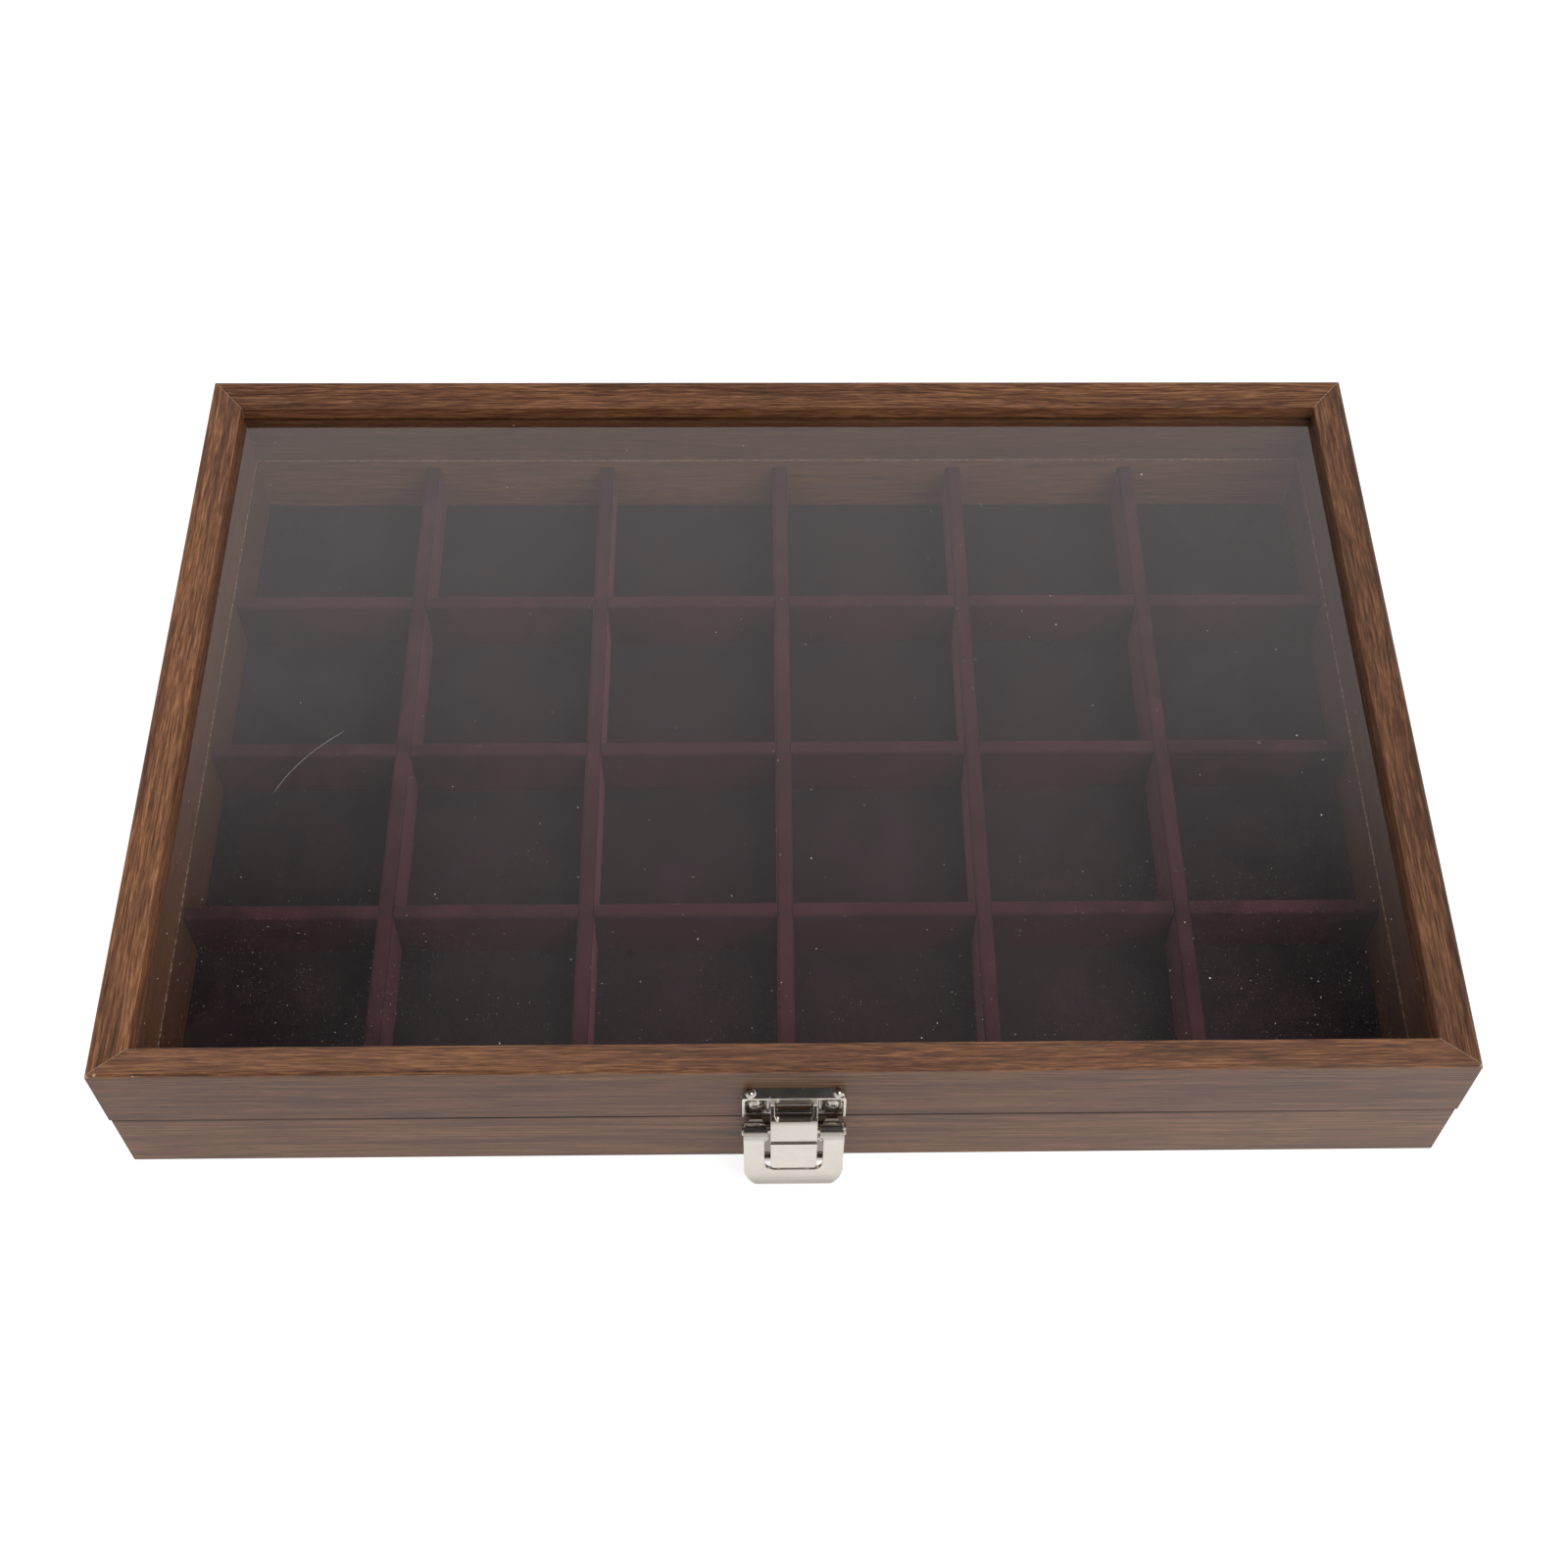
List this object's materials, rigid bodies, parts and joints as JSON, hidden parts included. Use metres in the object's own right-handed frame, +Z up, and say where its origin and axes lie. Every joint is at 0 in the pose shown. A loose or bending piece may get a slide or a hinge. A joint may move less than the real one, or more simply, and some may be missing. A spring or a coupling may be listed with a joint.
{
  "type": "mineral specimen box",
  "caption": "Shallow wood-grain display case with a hinged glazed lid, a velvet-lined tray divided into square cells, two back hinges and a nickel toggle latch.",
  "frame": {"origin": "middle of the flat underside", "axes": "+X to the right seen from the latch side, +Y from the latch to the hinges, +Z up"},
  "size_m": [0.35, 0.2498, 0.0515],
  "materials": {
    "lid_wood": "satin wood-grain foil",
    "base_wood": "satin wood-grain foil",
    "panel": "smooth board",
    "velvet": "flocked velvet",
    "velvet_floor": "flocked velvet",
    "glass": "clear, a little dusty",
    "nickel": "bright nickel plate",
    "hinge_metal": "nickel plate, duller than the latch"
  },
  "bodies": {
    "base": {"base_back_rail": "base_wood", "base_bottom_panel": "panel", "base_front_rail": "base_wood", "base_left_rail": "base_wood", "base_right_rail": "base_wood", "divider_long_1": "velvet", "divider_long_2": "velvet", "divider_long_3": "velvet", "divider_short_1": "velvet", "divider_short_2": "velvet", "divider_short_3": "velvet", "divider_short_4": "velvet", "divider_short_5": "velvet", "floor_pad": "velvet_floor", "hinge_base_screws": "hinge_metal", "hinge_left_base_leaf": "hinge_metal", "hinge_left_pin": "hinge_metal", "hinge_right_base_leaf": "hinge_metal", "hinge_right_pin": "hinge_metal", "latch_bracket": "nickel", "latch_bracket_screws": "nickel", "latch_pivot_pin": "nickel"},
    "lid": {"glass_pane": "glass", "hinge_left_lid_leaf": "hinge_metal", "hinge_lid_screws": "hinge_metal", "hinge_right_lid_leaf": "hinge_metal", "latch_keeper": "nickel", "latch_keeper_screws": "nickel", "lid_back_rail": "lid_wood", "lid_front_rail": "lid_wood", "lid_left_rail": "lid_wood", "lid_right_rail": "lid_wood"},
    "latch_lever": {"latch_lever": "nickel", "tongue_pin": "nickel"},
    "latch_tongue": {"latch_tongue": "nickel"}
  },
  "joints": [
    {"name": "lid_hinge", "type": "hinge", "parent": "base", "child": "lid", "pos_m": [0, 0.12, 0.0254], "axis": [-1, 0, 0], "range_deg": [0, 100]},
    {"name": "lever_hinge", "type": "hinge", "parent": "base", "child": "latch_lever", "pos_m": [0.0015, -0.1218, 0.0251], "axis": [-1, 0, 0], "range_deg": [0, 90]},
    {"name": "tongue_hinge", "type": "hinge", "parent": "latch_lever", "child": "latch_tongue", "pos_m": [0.0015, -0.1235, 0.01158], "axis": [-1, 0, 0], "range_deg": [-67.5, 0]}
  ],
  "couplings": [
    {"joint": "tongue_hinge", "follows": "lever_hinge", "ratio": -0.75}
  ]
}
